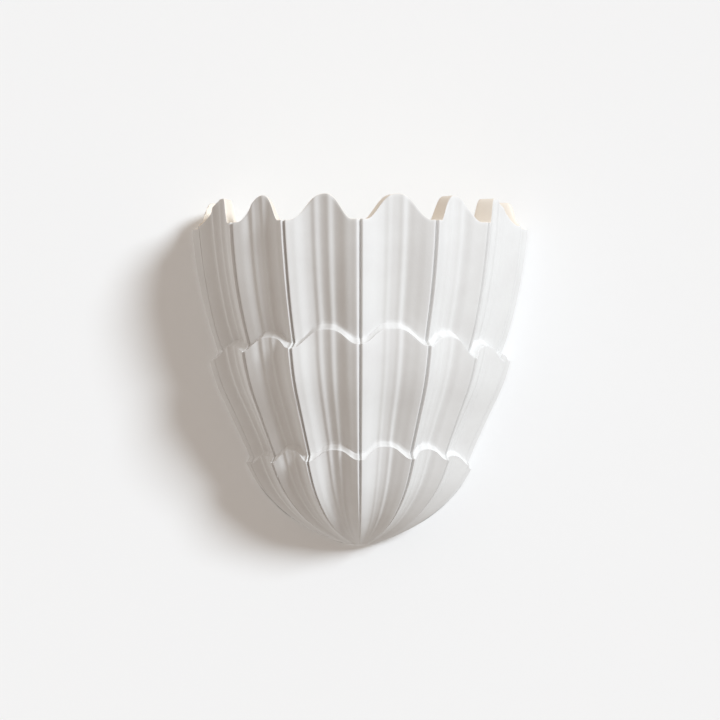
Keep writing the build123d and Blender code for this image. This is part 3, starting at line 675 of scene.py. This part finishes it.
def shell_rows():
    """Rows of (radius, height, share of cream) from the point up the face, over the rim and
    down the hollow. Heights are above the point. The cream on the cut rim and in the
    hollow is the bare plaster's tone, deepened to paint warm light bounced in the bowl."""
    bottom_lip = lip_line(bottom_lip_crests, bottom_lip_notches)
    middle_lip = lip_line(middle_lip_crests, middle_lip_notches)

    def rim_at(depth):
        """Height of the rim from its outer (0) to its inner edge (1). Its scallops are cut
        a little askew, and the petals on the wall are rolled down outwards."""
        skew = np.interp(np.degrees(angle), skew_angles, skew_turns)
        turned = angle + depth * np.radians(skew)
        place = np.clip(np.searchsorted(np.radians(seams), turned, side="right") - 1,
                        0, petal_count - 1)
        low, high = np.radians(seams[place]), np.radians(seams[place + 1])
        crest = scallop((2 * turned - low - high) / (high - low), rim_crest_places[place],
                        rim_left_feet[place], rim_right_feet[place], rim_bend)
        past = np.abs(np.degrees(angle)) - wall_roll_from
        near_wall = np.clip(past / wall_roll_over, 0, 1)
        roll = wall_roll_share * near_wall * (1 - depth) ** wall_roll_power
        return shell_height - rim_notch_depth * (1 - crest * (1 - roll))

    rim = rim_at(0.0)
    rows = []

    def add(radius, height, bare_and_bounce=0.0):
        rows.append((radius, height + 0 * angle, bare_and_bounce + 0 * angle))

    def climb(stations, foot, top, count, power=1.0):
        for t in np.linspace(0, 1, count) ** power:
            height = foot + (top - foot) * t
            add(tier_face(stations, height) + hand_wobble(height) * min(1, t * 8), height)

    def lip(stations, edge, above):
        """A rounded edge, then a cove up to the next tier's face."""
        outer = tier_face(stations, edge) + hand_wobble(edge)
        add(outer - 0.12 * edge_round, edge - 0.5 * edge_round)
        add(outer - 0.45 * edge_round, edge - 0.1 * edge_round)
        top = edge + cove_rise
        inner = tier_face(above, top) + hand_wobble(top)
        start = outer - 0.9 * edge_round
        foot = 0.15 * edge_round
        for t in np.linspace(0, 1, cove_rows)[:-1]:
            add(start + (inner - start) * t ** 0.85,
                edge + foot + (cove_rise - foot) * t ** 1.3)
        return top

    climb(bottom_tier, 0.0 * angle, bottom_lip - edge_round, bottom_rows, 1.6)
    middle_foot = lip(bottom_tier, bottom_lip, middle_tier)
    climb(middle_tier, middle_foot, middle_lip - edge_round, middle_rows)
    top_foot = lip(middle_tier, middle_lip, top_tier)
    climb(top_tier, top_foot, rim - edge_round, top_rows)
    outer = tier_face(top_tier, rim) + hand_wobble(rim)
    inner = smooth_through(hollow, rim)
    # The cut rim and the hollow take the full deeper cream, which paints warm bounce light on
    # the bare plaster; the rounded outer edge takes a little of it.
    add(outer - 0.3 * edge_round, rim - 0.3 * edge_round, 0.3)
    for t in np.linspace(0, 1, rim_rows):
        add(outer - edge_round + (inner + 2 * edge_round - outer) * t, rim_at(t), 1.0)
    rim = rim_at(1.0)
    add(inner + 0.3 * edge_round, rim - 0.3 * edge_round, 1.0)
    floor = hollow[0][0] * mm
    for t in 1 - np.linspace(1, 0, hollow_rows) ** 1.5:
        height = rim - edge_round + (floor - rim + edge_round) * t
        add(smooth_through(hollow, height), height, 1.0)
    add(0 * angle, floor, 1.0)
    return rows


def shell_places(rows):
    """x = r sin(a), y = -r cos(a), held in front of the flat back, z = point + height."""
    radius, height, _ = (np.array(values) for values in zip(*rows))
    x = np.clip(radius * np.sin(angle), shell_low[0], shell_high[0])
    y = np.minimum(-radius * np.cos(angle), shell_back)
    return np.stack([x, y, point_z + height], axis=-1)


plaster = new_finish("limed_plaster", Specular_IOR_Level=0.25)
# The cut rim, the hollow and the bosses turn a deeper, brighter cream: partly the bare
# plaster's own tone, partly painted warm light bounced inside the bowl.
bare_and_bounce_share = add_node(plaster.node_tree, "ShaderNodeAttribute", {"attribute_name": "bare_and_bounce"},
                     output="Fac")
plaster_cloud = noise(plaster, 45 * mm, detail=5.0, roughness=0.6)
plaster_grain = noise(plaster, 1.6 * mm, detail=6.0, roughness=0.65)
plaster_trowel = noise(plaster, 14 * mm, detail=3.0, stretch=(1.0, 1.0, 0.3))
limed = blend_colours(plaster_cloud.above(0.3, 0.7), (0.71, 0.7, 0.69), (0.75, 0.745, 0.735))
cream_and_painted_bounce = blend_colours(plaster_cloud, (0.81, 0.74, 0.655), (0.86, 0.795, 0.715))
feed(plaster, colour=blend_colours(bare_and_bounce_share, limed, cream_and_painted_bounce),
     roughness=0.72 + 0.18 * plaster_grain,
     height=0.7 * plaster_grain + 0.3 * plaster_trowel, relief=0.12 * mm)

rows = shell_rows()
places = shell_places(rows)
row_count, column_count = places.shape[:2]
index = np.arange(row_count * column_count).reshape(row_count, column_count)
quads = np.stack([index[:-1, :-1], index[:-1, 1:], index[1:, 1:], index[1:, :-1]],
                 axis=-1).reshape(-1, 4)
shell_mesh = bpy.data.meshes.new("shell_casting")
shell_mesh.from_pydata(places.reshape(-1, 3), [],
                       [*quads.tolist(), index[:, 0].tolist(), index[::-1, -1].tolist()])
# Share of that cream with painted bounce light at every point of the casting.
bare_and_bounce_values = shell_mesh.attributes.new("bare_and_bounce", "FLOAT", "POINT")
bare_and_bounce_values.data.foreach_set("value", np.array([row[2] for row in rows]).ravel())
shell = finish_mesh("shell_casting", shell_mesh, plaster, smooth_up_to=55.0)
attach(shell, "shell")
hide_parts("shell_shade")

# Two bosses cast inside the shell carry the bar's inserts.
boss_radius = 14.0 * mm
boss_length = 30.0 * mm
boss_bore = 3.85 * mm
boss_bore_depth = 19.0 * mm
boss_edge = 0.8 * mm
boss_end_round = 3.0 * mm


def boss(centre_x, centre_z, front):
    """Radius over the distance from the bar: a bored face with a chamfered edge, a
    straight side and a quarter circle at the far end."""
    around = np.linspace(0, 2 * pi, 72, endpoint=False)[None, :]
    swing = np.linspace(0, pi / 2, 8)
    radius = np.concatenate([[0.0, boss_bore, boss_bore, boss_radius - boss_edge, boss_radius],
                             boss_radius + boss_end_round * (np.cos(swing) - 1),
                             [0.0]])[:, None]
    depth = np.concatenate([[boss_bore_depth, boss_bore_depth, 0.0, 0.0, boss_edge],
                            boss_length + boss_end_round * (np.sin(swing) - 1),
                            [boss_length]])[:, None]
    return np.stack([centre_x + radius * np.cos(around), front - depth + 0 * around,
                     centre_z + radius * np.sin(around)], axis=-1)


bar_low, bar_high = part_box("hanging_bar")
insert_low, insert_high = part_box("hanging_bar_inserts")
insert_x = insert_high[0] - (insert_high[2] - insert_low[2]) / 2
for side, sign in (("left", -1), ("right", 1)):
    piece = ring_mesh(f"shell_boss_{side}",
                      boss(sign * insert_x, (bar_low[2] + bar_high[2]) / 2, bar_low[1]),
                      plaster)
    # The bosses take the full cream of bare plaster, with its painted warm bounce light.
    cut = piece.data.attributes.new("bare_and_bounce", "FLOAT", "POINT")
    cut.data.foreach_set("value", np.ones(len(piece.data.vertices)))
    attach(piece, "shell")
